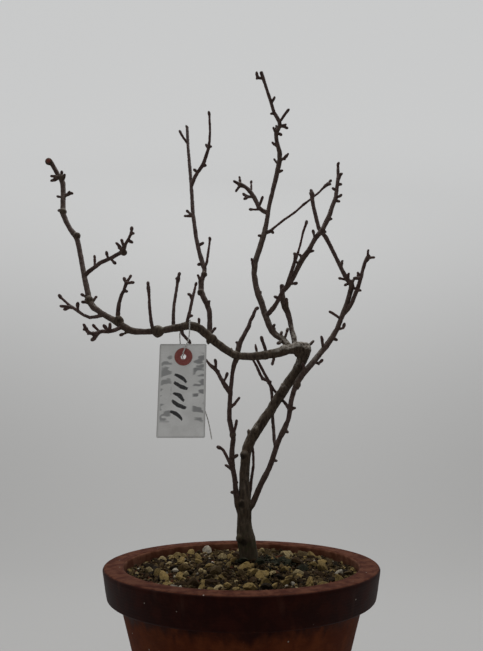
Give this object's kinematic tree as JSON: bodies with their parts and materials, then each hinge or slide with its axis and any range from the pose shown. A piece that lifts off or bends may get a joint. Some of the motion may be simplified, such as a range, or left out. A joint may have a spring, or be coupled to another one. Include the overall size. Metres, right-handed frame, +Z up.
{
  "type": "crabapple bonsai in a clay pot",
  "caption": "Bare winter crabapple bonsai in a round clay pot of granular soil, with a blank card tag hanging from its low limb on a twine loop.",
  "frame": {"origin": "middle of the pot's flat underside, on the surface it stands on", "axes": "+Z up the trunk, -Y toward the viewer, +X to the viewer's right"},
  "size_m": [0.3907, 0.27, 0.7422],
  "materials": {
    "clay": "damp, dark unglazed clay",
    "screen": "matt black",
    "soil": "loose grains of pumice, lava and baked clay",
    "bark": "thin grey-brown bark",
    "card": "weathered grey card",
    "red_paper": "faded brick-red paper",
    "twine": "two-ply cotton twine"
  },
  "bodies": {
    "root": {"pot": "clay", "drain_screen": "screen", "soil": "soil", "tree": "bark", "tag": "card", "tag_ring_front": "red_paper", "tag_ring_back": "red_paper", "tag_string": "twine"}
  },
  "joints": []
}
